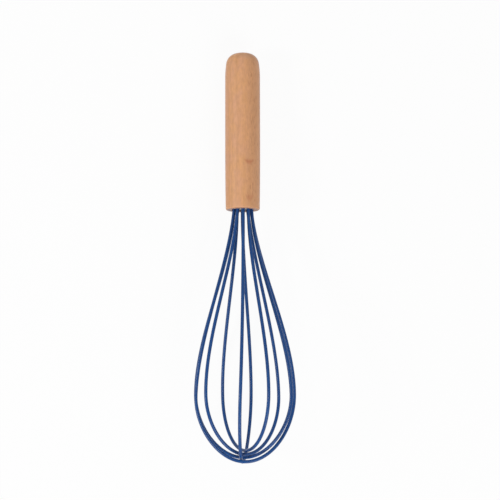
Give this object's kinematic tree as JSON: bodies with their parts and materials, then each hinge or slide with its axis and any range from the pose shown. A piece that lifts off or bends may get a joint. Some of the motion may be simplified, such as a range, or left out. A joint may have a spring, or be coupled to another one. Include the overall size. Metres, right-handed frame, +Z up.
{
  "type": "balloon whisk",
  "caption": "Balloon whisk with a turned wooden handle and a round-nosed cage of nested silicone-coated wire loops held in the handle's bore.",
  "frame": {"origin": "middle of the whisk's bounding box in plan, on the surface that it lies on", "axes": "+Y towards the handle's butt, -Y towards the nose of the cage, +Z up from the surface"},
  "size_m": [0.0706, 0.2926, 0.0689],
  "materials": {
    "beech": "fine sanded, oiled",
    "silicone": "satin moulded",
    "plug": "matte moulded",
    "resin": "cast",
    "spring_steel": "drawn"
  },
  "bodies": {
    "root": {"handle": "beech", "wire_plug": "plug", "glue_fill": "resin", "sleeve_1": "silicone", "sleeve_2": "silicone", "sleeve_3": "silicone", "sleeve_4": "silicone", "sleeve_5": "silicone", "core_1": "spring_steel", "core_2": "spring_steel", "core_3": "spring_steel", "core_4": "spring_steel", "core_5": "spring_steel"}
  },
  "joints": []
}
